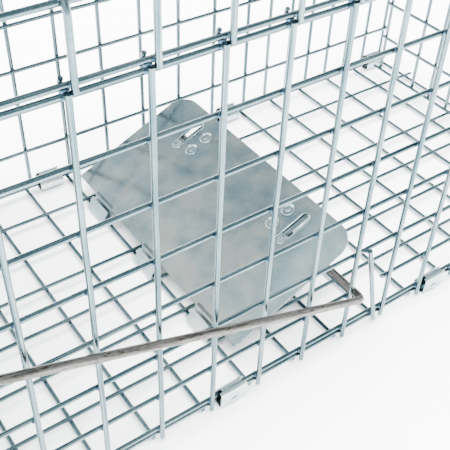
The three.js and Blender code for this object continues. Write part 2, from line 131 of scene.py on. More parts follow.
def mixColor(maker, share, first, second):
    return maker.node("ShaderNodeMix", {"data_type": "RGBA"}, {0: share, 6: first, 7: second}, 2)


def scaled(maker, vector, amount):
    return maker.node("ShaderNodeVectorMath", {"operation": "SCALE"}, {0: vector, "Scale": amount})


def shadeMetal(maker, color, roughness, relief, depth):
    bump = maker.node("ShaderNodeBump", None, {"Height": relief, "Strength": 0.6, "Distance": depth})
    surface = maker.node("ShaderNodeBsdfPrincipled", None,
                         {"Base Color": color, "Roughness": roughness, "Metallic": 1.0, "Normal": bump})
    maker.node("ShaderNodeOutputMaterial", None, {"Surface": surface})


# bright zinc plate on drawn wire: faintly blue, with duller patches
zincWireLook = {"patches": 45, "grain": 1400, "drawnAlong": 14.0, "drawnAround": 2.2, "gloss": 0.08,
                "relief": 0.03 * mm,
                "stops": [(0.36, (0.035, 0.075, 0.09)), (0.47, (0.08, 0.132, 0.148)),
                          (0.62, (0.21, 0.26, 0.272))]}


def makeZincWire():
    material, maker = startFinish("zincWire")
    spot = objectPlace(maker)
    patches = noise(maker, spot, zincWireLook["patches"])
    grain = noise(maker, spot, zincWireLook["grain"], 2)
    turn = wireValue(maker, "around") * (2 * math.pi)
    width = zincWireLook["drawnAround"]
    ring = maker.node("ShaderNodeCombineXYZ", None, {0: turn.sine() * width, 1: turn.cosine() * width})
    slow = scaled(maker, spot, zincWireLook["drawnAlong"])
    drawn = noise(maker, maker.node("ShaderNodeVectorMath", {"operation": "ADD"}, {0: slow, 1: ring}), 1, 4)
    color = ramp(maker, patches * 0.25 + drawn * 0.6 + grain * 0.15, zincWireLook["stops"])
    roughness = zincWireLook["gloss"] + patches * 0.16 + grain * 0.1
    shadeMetal(maker, color, roughness, grain, zincWireLook["relief"])
    return material


# burnt zinc at the welds, made darker to paint the contact shade where the wires cross
weldBurnAndShadeLook = {"grain": 900, "gloss": 0.25, "relief": 0.1 * mm,
                "stops": [(0.35, (0.02, 0.05, 0.085)), (0.6, (0.1, 0.18, 0.24))]}


def makeWeldBurnAndShade():
    material, maker = startFinish("weldBurn")
    grain = noise(maker, objectPlace(maker), weldBurnAndShadeLook["grain"], 2)
    color = ramp(maker, grain, weldBurnAndShadeLook["stops"])
    shadeMetal(maker, color, weldBurnAndShadeLook["gloss"] + grain * 0.2, grain, weldBurnAndShadeLook["relief"])
    return material


# galvanised sheet: soft mottling, fine grain and dark specks
zincSheetLook = {"mottle": 75, "clouds": 24, "grain": 1100, "specks": 0.45, "speckColor": (0.16, 0.175, 0.18, 1),
                 "relief": 0.03 * mm,
                 "stops": [(0.4, (0.24, 0.33, 0.365)), (0.5, (0.34, 0.405, 0.415)),
                           (0.6, (0.46, 0.485, 0.46))]}


def makeZincSheet(name, gloss, lift):
    material, maker = startFinish(name)
    spot = objectPlace(maker)
    mottle = noise(maker, spot, zincSheetLook["mottle"], 5)
    clouds = noise(maker, spot, zincSheetLook["clouds"])
    grain = noise(maker, spot, zincSheetLook["grain"], 2)
    color = ramp(maker, mottle * 0.55 + clouds * 0.35 + grain * 0.1, zincSheetLook["stops"])
    specks = remap(maker, grain * 0.6 + clouds * 0.4, 0.36, 0.4, 1, 0) * zincSheetLook["specks"]
    marked = mixColor(maker, specks, color, zincSheetLook["speckColor"])
    roughness = gloss + mottle * 0.2 + grain * 0.06
    shadeMetal(maker, scaled(maker, marked, lift), roughness, grain * 0.4 + mottle * 0.2, zincSheetLook["relief"])
    return material


# drawn bare steel rod: warm grey with dark streaks and pits along it
bareSteelLook = {"streakAlong": 45, "streakAround": 2.4, "pitAlong": 420, "pitAround": 3, "rust": 0.8,
                 "rustColor": (0.035, 0.022, 0.015, 1), "gloss": 0.3, "relief": 0.12 * mm,
                 "stops": [(0.38, (0.035, 0.032, 0.029)), (0.47, (0.085, 0.079, 0.073)),
                           (0.6, (0.19, 0.178, 0.165))]}


def makeBareSteel():
    material, maker = startFinish("bareSteel")
    along = wireValue(maker, "along")
    turn = wireValue(maker, "around") * (2 * math.pi)

    def wrapped(length, width):
        return maker.node("ShaderNodeCombineXYZ", None,
                          {0: along * length, 1: turn.sine() * width, 2: turn.cosine() * width})

    streaks = noise(maker, wrapped(bareSteelLook["streakAlong"], bareSteelLook["streakAround"]), 1, 5)
    pits = noise(maker, wrapped(bareSteelLook["pitAlong"], bareSteelLook["pitAround"]), 1, 3)
    color = ramp(maker, streaks * 0.75 + pits * 0.25, bareSteelLook["stops"])
    rust = remap(maker, pits, 0.33, 0.38, 1, 0) * bareSteelLook["rust"]
    worn = mixColor(maker, rust, color, bareSteelLook["rustColor"])
    shadeMetal(maker, worn, bareSteelLook["gloss"] + streaks * 0.25, pits + streaks, bareSteelLook["relief"])
    return material


zincWire = makeZincWire()
weldBurn = makeWeldBurnAndShade()
zincSheet = makeZincSheet("zincSheet", gloss=0.04, lift=0.84)
# the tabs' copy: rougher, and lifted 1.5 times as painted light on their lit faces
dullSheet = makeZincSheet("dullSheet", gloss=0.45, lift=1.5)
# the lighter copy; on the slot rims its lift is painted highlight
brightSheet = makeZincSheet("brightSheet", gloss=0.03, lift=1.3)
bareSteel = makeBareSteel()
print("finishes made")


# Geometry Nodes tree: round wires along the guide's edges, and a bead at each point marked as a weld
def makeWireTree():
    group = bpy.data.node_groups.new("weldedWire", "GeometryNodeTree")
    sockets = [("Geometry", "NodeSocketGeometry"), ("Sides", "NodeSocketInt"), ("Bead Length", "NodeSocketFloat"),
               ("Bead Width", "NodeSocketFloat"), ("Wire Finish", "NodeSocketMaterial"),
               ("Bead Finish", "NodeSocketMaterial")]
    for name, kind in sockets:
        group.interface.new_socket(name, in_out="INPUT", socket_type=kind)
    group.interface.new_socket("Geometry", in_out="OUTPUT", socket_type="NodeSocketGeometry")
    maker = NodeMaker(group)
    given = group.nodes.new("NodeGroupInput")
    value = {name: Socket(maker, given.outputs[name]) for name, _ in sockets}

    def stored(geometry, name, amount):
        return maker.node("GeometryNodeStoreNamedAttribute", {"data_type": "FLOAT", "domain": "POINT"},
                          {"Geometry": geometry, "Name": name, "Value": amount})

    def named(name, kind="FLOAT"):
        return maker.node("GeometryNodeInputNamedAttribute", {"data_type": kind}, {"Name": name})

    lines = maker.node("GeometryNodeMeshToCurve", None, {"Mesh": value["Geometry"]})
    lines = stored(lines, "along", maker.node("GeometryNodeSplineParameter", output="Length"))
    circle = maker.node("GeometryNodeCurvePrimitiveCircle", None, {"Resolution": value["Sides"], "Radius": 1.0})
    circle = stored(circle, "around", maker.node("GeometryNodeSplineParameter", output="Factor"))
    tubes = maker.node("GeometryNodeCurveToMesh", None,
                       {"Curve": lines, "Profile Curve": circle, "Scale": named("thick"), "Fill Caps": True})
    ball = maker.node("GeometryNodeMeshUVSphere", None, {"Segments": 8, "Rings": 5, "Radius": 0.5})
    size = maker.node("ShaderNodeCombineXYZ", None,
                      {0: value["Bead Length"], 1: value["Bead Width"], 2: value["Bead Width"]})
    ball = maker.node("GeometryNodeTransform", None, {"Geometry": ball, "Scale": size})
    beads = maker.node("GeometryNodeInstanceOnPoints", None,
                       {"Points": value["Geometry"], "Selection": named("bead"), "Instance": ball,
                        "Rotation": named("turn", "FLOAT_VECTOR")})
    whole = maker.node("GeometryNodeJoinGeometry", None, {"Geometry": [tubes, beads]})
    whole = maker.node("GeometryNodeSetShadeSmooth", None, {"Geometry": whole, "Shade Smooth": True})
    whole = maker.node("GeometryNodeRealizeInstances", None, {"Geometry": whole})
    whole = maker.node("GeometryNodeSetMaterial", None, {"Geometry": whole, "Material": value["Wire Finish"]})
    whole = maker.node("GeometryNodeSetMaterial", None,
                       {"Geometry": whole, "Selection": named("bead"), "Material": value["Bead Finish"]})
    maker.node("NodeGroupOutput", None, {"Geometry": whole})
    return group


wireTree = makeWireTree()


def addObject(name, data):
    piece = bpy.data.objects.new(name, data)
    bpy.context.scene.collection.objects.link(piece)
    return piece


# an edited shape as a smooth mesh
def smoothMesh(shape, name, *finishes):
    for face in shape.faces:
        face.smooth = True
    mesh = bpy.data.meshes.new(name)
    shape.to_mesh(mesh)
    shape.free()
    for finish in finishes:
        mesh.materials.append(finish)
    return mesh


def bevelEdges(piece, width, angle):
    bevel = piece.modifiers.new("edge", "BEVEL")
    bevel.width = width
    bevel.segments = 2
    bevel.limit_method = "ANGLE"
    bevel.angle_limit = math.radians(angle)


def thicken(piece, wall, even):
    solid = piece.modifiers.new("wall", "SOLIDIFY")
    solid.thickness = wall
    solid.offset = 0
    solid.use_even_offset = even


# the evaluated object as a plain mesh of its own, at the origin
def applied(piece, name):
    bpy.context.view_layer.update()
    ready = piece.evaluated_get(bpy.context.evaluated_depsgraph_get())
    mesh = bpy.data.meshes.new_from_object(ready)
    mesh.name = name
    mesh.transform(piece.matrix_world)
    bpy.data.objects.remove(piece)
    mesh.set_sharp_from_angle(angle=math.radians(42))
    return addObject(name, mesh)


# centre lines of wires, and the points where they are welded
class WireGuide:
    def __init__(self):
        self.points = []
        self.edges = []
        self.thick = []
        self.turns = []

    def wire(self, points, diameter, closed=False):
        start = len(self.points)
        self.points += [Vector(point) for point in points]
        self.thick += [diameter / 2] * len(points)
        self.turns += [(0, 0, 0)] * len(points)
        self.edges += [(start + i, start + i + 1) for i in range(len(points) - 1)]
        if closed:
            self.edges.append((len(self.points) - 1, start))

    def weld(self, point, turn=(0, 0, 0)):
        self.points.append(Vector(point))
        self.thick.append(0)
        self.turns.append(turn)

    def build(self, name, finish, sides=12, beadLength=3.6 * mm, beadWidth=1.9 * mm):
        mesh = bpy.data.meshes.new(name + "Guide")
        mesh.from_pydata(self.points, self.edges, [])
        thick = mesh.attributes.new("thick", "FLOAT", "POINT")
        thick.data.foreach_set("value", self.thick)
        bead = mesh.attributes.new("bead", "FLOAT", "POINT")
        bead.data.foreach_set("value", [0 if size else 1 for size in self.thick])
        turn = mesh.attributes.new("turn", "FLOAT_VECTOR", "POINT")
        turn.data.foreach_set("vector", [part for one in self.turns for part in one])
        guide = addObject(name + "Guide", mesh)
        # the beads' dark finish is partly burnt zinc and partly painted contact shade at each crossing
        values = {"Sides": sides, "Bead Length": beadLength, "Bead Width": beadWidth,
                  "Wire Finish": finish, "Bead Finish": weldBurn}
        modifier = guide.modifiers.new("wires", "NODES")
        modifier.node_group = wireTree
        for item in wireTree.interface.items_tree:
            if item.in_out == "INPUT" and item.name in values:
                modifier[item.identifier] = values[item.name]
        return applied(guide, name)


# a polyline with its inner corners rounded
def rounded(points, radius, steps=6):
    points = [Vector(point) for point in points]
    out = [points[0]]
    for before, corner, after in zip(points, points[1:], points[2:]):
        a = (before - corner).normalized()
        b = (after - corner).normalized()
        halfAngle = a.angle(b) / 2
        reach = radius / math.tan(halfAngle)
        middle = corner + (a + b).normalized() * (radius / math.sin(halfAngle))
        first = corner + a * reach - middle
        last = corner + b * reach - middle
        out += [middle + first.slerp(last, i / steps).normalized() * radius for i in range(steps + 1)]
    return out + [points[-1]]


def place(piece, body, slot, *nodes):
    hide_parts(*nodes)
    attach(piece, body)


# the cage's wire positions, read from the frame
grid = {"pitch": 25.4 * mm, "evenBays": 19, "denseBays": 7, "cadWire": 2.2 * mm, "flangeLift": 0.5 * mm}
wires = {"upright": 2.25 * mm, "long": 2.05 * mm, "layer": 1.0 * mm, "bite": 0.1 * mm, "sway": 0.13 * mm}

floorLow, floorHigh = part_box("floor_panel")
sideLow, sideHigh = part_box("right_side_panel")
flangeLow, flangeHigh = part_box("roof_flange_right")
rodLow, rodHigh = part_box("trip_rod")
half = grid["cadWire"] / 2
layerGap = (wires["upright"] + wires["long"]) / 2 - wires["bite"]
middleY = (floorLow.y + floorHigh.y) / 2
floorHalf = (floorHigh.y - floorLow.y) / 2 - half
sideHalf = middleY - (sideLow.y + sideHigh.y) / 2
floorZ = (floorLow.z + floorHigh.z) / 2
flangeZ = flangeLow.z + half + grid["flangeLift"]
roofZ = flangeHigh.z - half
floorBays = round((floorHigh.x - floorLow.x) / grid["pitch"])
crossXs = [floorLow.x + half + i * grid["pitch"] for i in range(floorBays + 1)]
longYs = [middleY - floorHalf + i * grid["pitch"] for i in range(round(2 * floorHalf / grid["pitch"]) + 1)]
evenXs = [sideLow.x + half + i * grid["pitch"] for i in range(grid["evenBays"] + 1)]
denseStep = (sideHigh.x - half - evenXs[-1]) / grid["denseBays"]
uprightXs = evenXs + [evenXs[-1] + (i + 1) * denseStep for i in range(grid["denseBays"])]
rowZs = [sideLow.z + half] + [floorZ + i * grid["pitch"] for i in range(1, 7)] + [sideHigh.z - half]
# the centre of the trip rod's leg, taken from its free end
rodPoints = [v.co for v in frame["nodes"]["trip_rod"].data.vertices]
legEnd = [p for p in rodPoints if p.y > rodHigh.y - 1 * mm]
legX = (min(p.x for p in legEnd) + max(p.x for p in legEnd)) / 2
legZ = (min(p.z for p in legEnd) + max(p.z for p in legEnd)) / 2


def sway():
    return chance.uniform(-1, 1) * wires["sway"]


# the outer two of these wires stand a little further out
def spread(ys, out):
    return [ys[0] - out] + ys[1:-1] + [ys[-1] + out]


floor = {"overhangSide": 1.9 * mm, "overhangFront": 1.2 * mm, "overhangRear": 4 * mm, "drop": 1.2 * mm,
         "edgeOut": 1.4 * mm, "sides": 10, "beadLength": 3.0 * mm, "beadWidth": 1.8 * mm}


def makeFloor():
    guide = WireGuide()
    crossZ = floorZ - floor["drop"]
    longZ = crossZ + wires["long"] - wires["bite"]
    reach = floorHalf + floor["overhangSide"]
    stops = [middleY - reach] + longYs + [middleY + reach]
    for x in crossXs:
        guide.wire([(x + sway(), y, crossZ) for y in stops], wires["long"])
    stops = [crossXs[0] - floor["overhangFront"]] + crossXs + [crossXs[-1] + floor["overhangRear"]]
    for y in spread(longYs, floor["edgeOut"]):
        guide.wire([(x, y + sway(), longZ) for x in stops], wires["long"])
        for x in crossXs:
            guide.weld((x, y, (crossZ + longZ) / 2))
    piece = guide.build("floorMesh", zincWire, floor["sides"], floor["beadLength"], floor["beadWidth"])
    place(piece, "cage", "zinc_wire", "floor_panel")


side = {"overhangEnds": 1.8 * mm, "bottomEnd": 5.0 * mm, "hookStart": 95, "hookTurn": 130, "hookSteps": 10,
        "hookPress": 0.7, "endGap": 1.4 * mm, "cutStub": 3.3 * mm, "sides": 14}


def makeSide(name, sign, node, cut):
    guide = WireGuide()
    upY = middleY + sign * (sideHalf + wires["layer"])
    rowY = middleY + sign * (sideHalf - wires["layer"])
    hookR = (wires["upright"] + wires["long"]) / 2
    ends = [rowZs[0] - side["bottomEnd"]] + rowZs + [flangeZ - side["endGap"]]
    for x in uprightXs:
        guide.wire([(x + sway(), upY + sway() * 0.5, z) for z in ends], wires["upright"])
        # pressed end, curled behind the cover's edge wire
        curl = [(x, upY, flangeZ - hookR)]
        for i in range(side["hookSteps"] + 1):
            angle = -math.radians(side["hookStart"] + side["hookTurn"] * i / side["hookSteps"])
            curl.append((x, rowY + sign * hookR * math.cos(angle), flangeZ + hookR * math.sin(angle)))
        guide.wire(curl, wires["upright"] * side["hookPress"])
        guide.weld((x, rowY, flangeZ - side["endGap"]))
    start = uprightXs[0] - side["overhangEnds"]
    end = uprightXs[-1] + side["overhangEnds"]
    for row, z in enumerate(rowZs):
        if cut and row == 1:
            # this row stops on both sides of the trip rod's slot
            before = [x for x in uprightXs if x < legX]
            after = [x for x in uprightXs if x > legX]
            for stops in ([start] + before + [before[-1] + half], [after[0] - side["cutStub"]] + after + [end]):
                guide.wire([(x, rowY, z + sway()) for x in stops], wires["long"])
        else:
            stops = [start] + uprightXs + [end]
            guide.wire([(x, rowY + sway() * 0.5, z + sway()) for x in stops], wires["long"])
        for x in uprightXs:
            guide.weld((x, (upY + rowY) / 2, z))
    place(guide.build(name, zincWire, side["sides"]), "cage", "zinc_wire", node)


# one mesh sheet folded down over both sides
cover = {"offset": 2.35 * mm, "fold": 5 * mm, "endBelow": 2.1 * mm, "edgeOut": 1.3 * mm, "overhangRear": 1.5 * mm}


def makeCover():
    guide = WireGuide()
    outY = sideHalf + wires["layer"]
    inY = sideHalf - wires["layer"]
    lowZ = flangeZ - cover["endBelow"]
    longZ = roofZ - layerGap
    roofYs = spread(longYs, cover["edgeOut"])
    corners = [(middleY - outY, lowZ), (middleY - outY, roofZ), (middleY + outY, roofZ), (middleY + outY, lowZ)]
    crossings = [x + cover["offset"] for x in uprightXs]
    for x in crossings:
        guide.wire(rounded([(x + sway(), y, z) for y, z in corners], cover["fold"]), wires["upright"])
        for sign in (-1, 1):
            guide.weld((x, middleY + sign * sideHalf, flangeZ))
        for y in roofYs:
            guide.weld((x, y, (roofZ + longZ) / 2))
    stops = [crossings[0] - side["overhangEnds"]] + crossings + [crossings[-1] + cover["overhangRear"]]
    for sign in (-1, 1):
        guide.wire([(x, middleY + sign * inY, flangeZ + sway() * 0.5) for x in stops], wires["long"])
    for y in roofYs:
        guide.wire([(x, y + sway(), longZ) for x in stops], wires["long"])
    piece = guide.build("coverMesh", zincWire)
    place(piece, "cage", "zinc_wire", "roof_panel", "roof_flange_right", "roof_flange_left")


rear = {"pitch": 15.5 * mm, "rows": 8, "endBelow": 1.5 * mm, "endAbove": 0.9 * mm, "overhang": 1.5 * mm,
        "sideReach": 82 * mm}


def makeRearPanel():
    guide = WireGuide()
    low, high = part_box("rear_panel")
    # the rows lie on the hinge line, so that the panel clears the cover as it swings up
    rowX = (low.x + high.x) / 2
    upX = rowX + layerGap
    count = round((high.y - low.y) / rear["pitch"])
    ys = [low.y + half + i * (high.y - low.y - 2 * half) / count for i in range(count + 1)]
    rowStep = (high.z - low.z - 2 * half) / rear["rows"]
    zs = [low.z + half + i * rowStep for i in range(rear["rows"] + 1)]
    stops = [zs[0] - rear["endBelow"]] + zs + [zs[-1] + rear["endAbove"]]
    for y in ys:
        guide.wire([(upX + sway() * 0.5, y + sway(), z) for z in stops], wires["upright"])
        for z in zs:
            guide.weld(((upX + rowX) / 2, y, z), (0, 0, math.pi / 2))
    for row, z in enumerate(zs):
        reach = rear["sideReach"] if row == 0 else (ys[-1] - ys[0]) / 2 + rear["overhang"]
        guide.wire([(rowX, y, z + sway()) for y in [middleY - reach] + ys + [middleY + reach]], wires["long"])
    place(guide.build("rearMesh", zincWire), "rear_panel", "zinc_wire", "rear_panel")


makeFloor()
makeSide("rightSideMesh", -1, "right_side_panel", True)
makeSide("leftSideMesh", 1, "left_side_panel", False)
makeCover()
makeRearPanel()
print("wire panels made")


rods = {"sides": 20, "bendSteps": 8, "step": 12 * mm}


def bentRod(name, points, thick, bend, body, slot, finish, node, closed=False):
    line = rounded(points, bend, rods["bendSteps"])
    if closed:
        line = line[1:-1]
    # short steps keep the streaks even along the rod
    fine = [line[0]]
    for a, b in zip(line, line[1:]):
        count = max(1, round((b - a).length / rods["step"]))
        fine += [a.lerp(b, (i + 1) / count) for i in range(count)]
    guide = WireGuide()
    guide.wire(fine, thick, closed)
    place(guide.build(name, finish, rods["sides"]), body, slot, node)


tripRod = {"thick": 3.6 * mm, "bend": 3.4 * mm}


def makeTripRod():
    r = tripRod["thick"] / 2
    planeY = rodLow.y + r
    elbowX = rodLow.x + r
    elbowZ = min(p.z for p in rodPoints if p.x < elbowX + r) + r
    stubZ = rodHigh.z - r
    stubEnd = max(p.y for p in rodPoints if p.z > stubZ)
    points = [(legX, rodHigh.y, legZ), (legX, planeY, legZ), (elbowX, planeY, elbowZ), (elbowX, planeY, stubZ),
              (elbowX, stubEnd, stubZ)]
    bentRod("tripRod", points, tripRod["thick"], tripRod["bend"], "trip_rod", "bare_steel_rod", bareSteel, "trip_rod")


guideWire = {"out": 0.9 * mm, "endGap": 0.4 * mm, "weldOut": 1.1 * mm, "sides": 14}


def makeGuideWire():
    low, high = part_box("rod_guide")
    y = high.y - half + guideWire["out"]
    points = [(low.x + half, y, high.z - guideWire["endGap"]), (high.x - half, y, low.z + guideWire["endGap"])]
    guide = WireGuide()
    guide.wire(points, wires["upright"])
    guide.weld((points[0][0], y + guideWire["weldOut"], rowZs[2]))
    place(guide.build("guideWire", zincWire, guideWire["sides"]), "cage", "zinc_wire", "rod_guide")


lockBar = {"thick": 3.5 * mm, "bend": 5 * mm, "pastKeeper": 8 * mm}


def makeLockBar():
    low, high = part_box("lock_bar")
    r = lockBar["thick"] / 2
    x = (low.x + high.x) / 2
    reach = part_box("lock_bar_keeper_left")[1].y - middleY + lockBar["pastKeeper"]
    yz = [(low.y, low.z + r), (middleY - reach, low.z + r), (middleY - reach, high.z - r),
          (middleY + reach, high.z - r), (middleY + reach, low.z + r), (high.y, low.z + r)]
    bentRod("lockBar", [(x, y, z) for y, z in yz], lockBar["thick"], lockBar["bend"], "lock_bar", "bare_steel_rod",
            bareSteel, "lock_bar")


handle = {"thick": 4 * mm, "bend": 4.5 * mm, "clipGap": 3.4 * mm}


def makeHandle():
    low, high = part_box("handle")
    r = handle["thick"] / 2
    z = (low.z + high.z) / 2
    centre = (low.x + high.x) / 2
    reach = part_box("handle_clip_rear")[0].x - handle["clipGap"] - centre
    xy = [(low.x, low.y + r), (centre - reach, low.y + r), (centre - reach, high.y - r),
          (centre + reach, high.y - r), (centre + reach, low.y + r), (high.x, low.y + r)]
    bentRod("carryingBail", [(x, y, z) for x, y in xy], handle["thick"], handle["bend"], "handle", "bare_steel_rod",
            bareSteel, "handle")


frontFrame = {"bend": 7 * mm, "joint": 1 * mm}


def makeFrontFrame():
    low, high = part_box("front_frame")
    x = (low.x + high.x) / 2
    r = (high.x - low.x) / 2
    y0, y1, z0, z1 = low.y + r, high.y - r, low.z + r, high.z - r
    yz = [(middleY, z0), (y1, z0), (y1, z1), (y0, z1), (y0, z0), (middleY - frontFrame["joint"], z0)]
    bentRod("doorFrame", [(x, y, z) for y, z in yz], 2 * r, frontFrame["bend"], "cage", "zinc_wire", zincWire,
            "front_frame", True)


def makeHingeRod():
    low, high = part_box("door_hinge_rod")
    x = (low.x + high.x) / 2
    z = (low.z + high.z) / 2
    guide = WireGuide()
    guide.wire([(x, low.y, z), (x, middleY, z), (x, high.y, z)], high.z - low.z)
    place(guide.build("doorHingeRod", bareSteel, rods["sides"]), "cage", "bare_steel_rod", "door_hinge_rod")


makeTripRod()
makeGuideWire()
makeLockBar()
makeHandle()
makeFrontFrame()
makeHingeRod()
print("rods made")


# sheet pieces that keep their solid's shape, with softened edges
sheets = {"edge": 0.16 * mm, "merge": 0.002 * mm}
sheetPieces = {
    "cage": ["rod_sleeve", "door_hinge_ear_right", "door_hinge_ear_left", "lock_stop_right", "lock_stop_left",
             "rear_hinge_clip_right", "rear_hinge_clip_left", "handle_guard", "handle_clip_front",
             "handle_clip_rear"],
    "treadle": ["trigger_bracket_right", "trigger_bracket_left"],
    "door": ["door", "door_catch", "lock_bar_keeper_right", "lock_bar_keeper_left"],
}


def makeSheetPiece(node, body):
    words = node.split("_")
    name = words[0] + "".join(word.capitalize() for word in words[1:]) + "Sheet"
    shape = bmesh.new()
    shape.from_mesh(frame["nodes"][node].data)
    bmesh.ops.remove_doubles(shape, verts=shape.verts, dist=sheets["merge"])
    bmesh.ops.dissolve_limit(shape, angle_limit=math.radians(1), verts=shape.verts, edges=shape.edges)
    piece = addObject(name + "Rough", smoothMesh(shape, name, zincSheet))
    bevelEdges(piece, sheets["edge"], 40)
    place(applied(piece, name), body, "zinc_sheet", node)


for body, nodes in sheetPieces.items():
    for node in nodes:
        makeSheetPiece(node, body)
print("sheet pieces made")


clip = {"wall": 0.7 * mm, "corner": 2.2 * mm, "shoulder": 5.4 * mm, "ridge": 4.2 * mm, "notch": 1.4 * mm,
        "edge": 0.18 * mm, "stations": [0, 0.12, 0.3, 0.5, 0.7, 0.88, 1], "tongueLength": 5.4 * mm,
        "tongueHeight": 2.9 * mm, "tongueOut": 0.7 * mm, "tongueLift": 3.1 * mm}


def makeEdgeClip(node, sign):
    low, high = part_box(node)
    wall = clip["wall"]
    yOut, yIn = (low.y, high.y) if sign < 0 else (high.y, low.y)
    inset = -sign * wall / 2
    ridge = yOut - sign * clip["ridge"]
    bottom = low.z + wall / 2
    top = high.z - wall / 2
    outline = [(yIn - inset, bottom), (yIn - inset, low.z + clip["shoulder"]), (ridge - inset, top),
               (yOut + inset, top), (yOut + inset, bottom)]
    # the loop starts in the middle of its bottom
    seam = (outline[-1][0] * 0.5 + outline[0][0] * 0.5, bottom)
    line = rounded([(0, y, z) for y, z in [seam] + outline + [seam]], clip["corner"], 5)
    shape = bmesh.new()
    rows = []
    for part in clip["stations"]:
        x = low.x + part * (high.x - low.x)
        rows.append([shape.verts.new((x, p.y, p.z)) for p in line[:-1]])
    count = len(rows[0])
    for a, b in zip(rows, rows[1:]):
        for i in range(count):
            j = (i + 1) % count
            corners = [a[i], a[j], b[j], b[i]]
            middleX = sum(v.co.x for v in corners) / 4
            nearEnd = min(middleX - low.x, high.x - middleX) < clip["notch"]
            # a notch in each rim, where the sheet bends over its top edge
            if nearEnd and all(v.co.z > high.z - wall for v in corners):
                continue
            shape.faces.new(corners)
    bmesh.ops.recalc_face_normals(shape, faces=shape.faces)
    piece = addObject(node + "Rough", smoothMesh(shape, node, brightSheet))
    thicken(piece, wall, False)
    bevelEdges(piece, clip["edge"], 50)
    piece = applied(piece, "clip_" + node)
    addTongue(piece, ((low.x + high.x) / 2, yOut, low.z + clip["tongueLift"]))
    place(piece, "cage", "zinc_sheet", node)


# a small tongue lanced out of the clip's outer face
def addTongue(piece, spot):
    shape = bmesh.new()
    shape.from_mesh(piece.data)
    made = bmesh.ops.create_uvsphere(shape, u_segments=20, v_segments=10, radius=0.5)
    size = Matrix.Diagonal((clip["tongueLength"], clip["tongueOut"] * 2, clip["tongueHeight"], 1))
    bmesh.ops.transform(shape, matrix=Matrix.Translation(spot) @ size, verts=made["verts"])
    for face in shape.faces:
        face.smooth = True
    shape.to_mesh(piece.data)
    shape.free()


for node in sorted(frame["nodes"]):
    if node.startswith("edge_clip_"):
        makeEdgeClip(node, -1 if "right" in node else 1)
print("edge clips made")


# u runs from the hinge along the plate
treadle = {"tilt": 24, "start": 5 * mm, "end": 83.5 * mm, "width": 152 * mm, "shift": 2.1 * mm, "corner": 12.5 * mm,
           "under": 3.4 * mm, "sheet": 0.8 * mm, "edge": 0.1 * mm, "slotU": 67.6 * mm, "slotY": 47.1 * mm,
           "slotLength": 17.6 * mm, "slotWidth": 5 * mm, "rivetY": 36.7 * mm, "rivetUs": (60.85 * mm, 71.35 * mm),
           "hole": 1.7 * mm}
hinge = next(joint for joint in frame["joints"] if joint["name"] == "treadle_hinge")
treadleTurn = Matrix.Translation(Vector(hinge["pos_m"]) + Vector((0, treadle["shift"], 0))) \
    @ Euler((0, -math.radians(treadle["tilt"]), 0)).to_matrix().to_4x4()


def arc(cx, cy, radius, start, end, steps):
    turns = [math.radians(start + (end - start) * i / steps) for i in range(steps + 1)]
    return [(cx + radius * math.cos(t), cy + radius * math.sin(t)) for t in turns]


def slotOutline(y, grow=0):
    r = (treadle["slotWidth"] + grow) / 2
    straight = (treadle["slotLength"] + grow) / 2 - r
    return arc(treadle["slotU"] + straight, y, r, -90, 90, 10) + arc(treadle["slotU"] - straight, y, r, 90, 270, 10)


# the flat plate with its holes, cut from a filled curve
def makePlate():
    r = treadle["corner"]
    end = treadle["end"] - r
    halfWidth = treadle["width"] / 2
    outlines = [[(treadle["start"], -halfWidth)] + arc(end, r - halfWidth, r, -90, 0, 14)
                + arc(end, halfWidth - r, r, 0, 90, 14) + [(treadle["start"], halfWidth)]]
    for sign in (-1, 1):
        outlines.append(slotOutline(sign * treadle["slotY"]))
        for u in treadle["rivetUs"]:
            outlines.append(arc(u, sign * treadle["rivetY"], treadle["hole"], 0, 345, 23))
    curve = bpy.data.curves.new("plateCurve", "CURVE")
    curve.dimensions = "2D"
    curve.fill_mode = "BOTH"
    curve.extrude = treadle["sheet"] / 2 - treadle["edge"]
    curve.bevel_depth = treadle["edge"]
    curve.bevel_resolution = 1
    curve.offset = -treadle["edge"]
    for outline in outlines:
        spline = curve.splines.new("POLY")
        spline.points.add(len(outline) - 1)
        for point, (u, y) in zip(spline.points, outline):
            point.co = (u, y, 0, 1)
        spline.use_cyclic_u = True
    plate = applied(addObject("plateCurve", curve), "plateFlat")
    plate.data.transform(Matrix.Translation((0, 0, treadle["under"] + treadle["sheet"] / 2)))
    return plate


# the curl round the hinge wire is seen from its end, in millimetres from the wire's centre
tabs = {"width": 17 * mm, "ys": (-50.8 * mm, 0, 50.8 * mm), "overlap": 2 * mm, "edge": 0.12 * mm,
        "curl": [(3.3, 2.6), (3.0, 0.4), (2.4, -1.5), (1.0, -2.5), (-0.8, -2.75), (-2.1, -2.4), (-2.6, -1.6),
                 (-2.45, -1.35), (0.95, 4.16), (1.1, 4.4)]}


# strips that run on from the plate's edge and curl under the hinge wire
def makeTabs():
    level = treadle["under"] + treadle["sheet"] / 2
    tilt = math.radians(treadle["tilt"])
    line = [(treadle["start"] + tabs["overlap"], level), (treadle["start"], level)]
    line += [(x * mm * math.cos(tilt) + z * mm * math.sin(tilt), z * mm * math.cos(tilt) - x * mm * math.sin(tilt))
             for x, z in tabs["curl"]]
    shape = bmesh.new()
    for centre in tabs["ys"]:
        y0 = centre - treadle["shift"] - tabs["width"] / 2
        y1 = y0 + tabs["width"]
        for (u0, v0), (u1, v1) in zip(line, line[1:]):
            shape.faces.new([shape.verts.new(p) for p in ((u0, y0, v0), (u1, y0, v1), (u1, y1, v1), (u0, y1, v0))])
    bmesh.ops.remove_doubles(shape, verts=shape.verts, dist=0.01 * mm)
    piece = addObject("tabsRough", smoothMesh(shape, "tabs"))
    thicken(piece, treadle["sheet"], True)
    bevelEdges(piece, tabs["edge"], 50)
    return applied(piece, "tabs")


